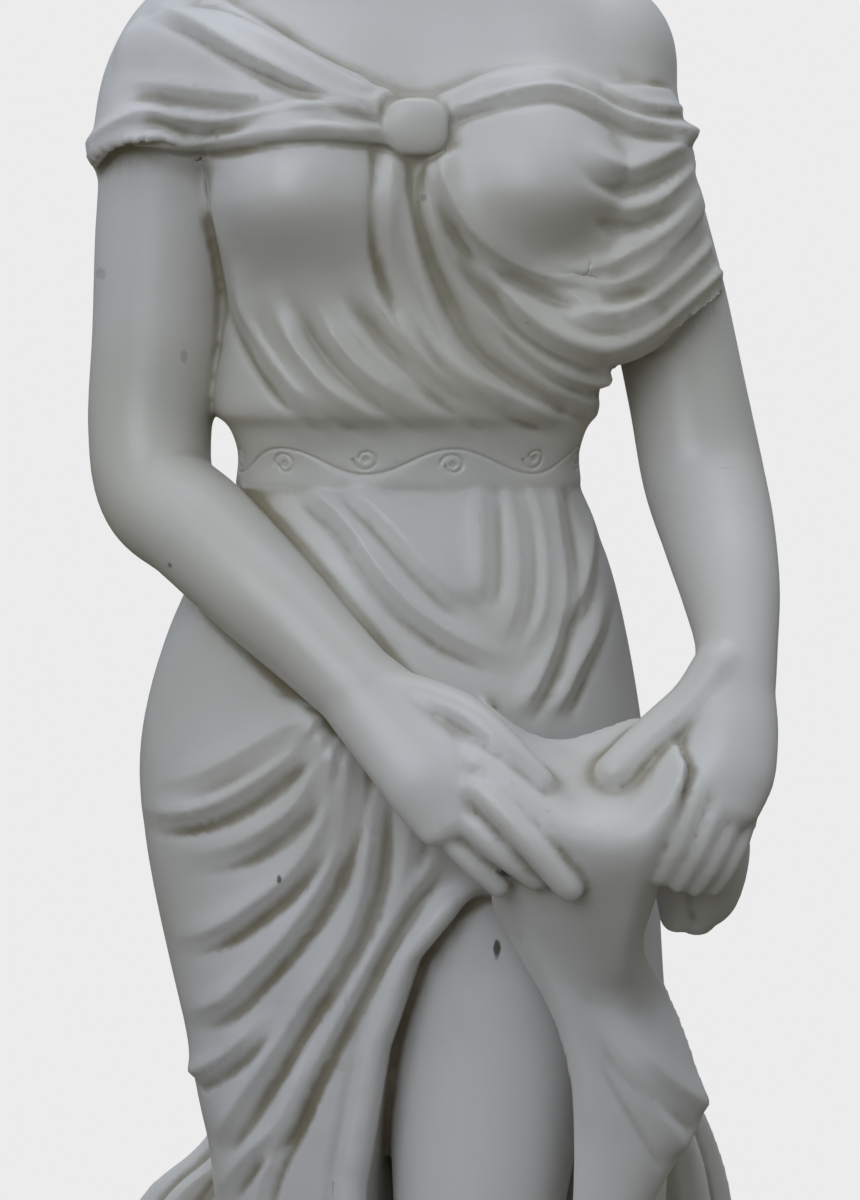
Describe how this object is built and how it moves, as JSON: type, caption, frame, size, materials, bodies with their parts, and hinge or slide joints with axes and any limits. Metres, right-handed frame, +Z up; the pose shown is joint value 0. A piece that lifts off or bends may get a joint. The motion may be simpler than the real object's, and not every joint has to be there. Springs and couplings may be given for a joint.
{
  "type": "marble statue",
  "caption": "Standing draped woman in carved marble, gathering her gown with both hands, on a low moulded plinth; stands free by its own weight.",
  "frame": {"origin": "centre of the plinth's underside", "axes": "+Z up; +X to the right of a viewer who faces the figure, her left side; +Y away from that viewer, towards her back"},
  "size_m": [0.62, 0.47, 1.7748],
  "materials": {
    "statue_marble": "satin, rubbed smooth, with yellow-brown grime in the deep folds",
    "plinth_marble": "honed"
  },
  "bodies": {
    "root": {"figure": "statue_marble", "plinth": "plinth_marble"}
  },
  "joints": []
}
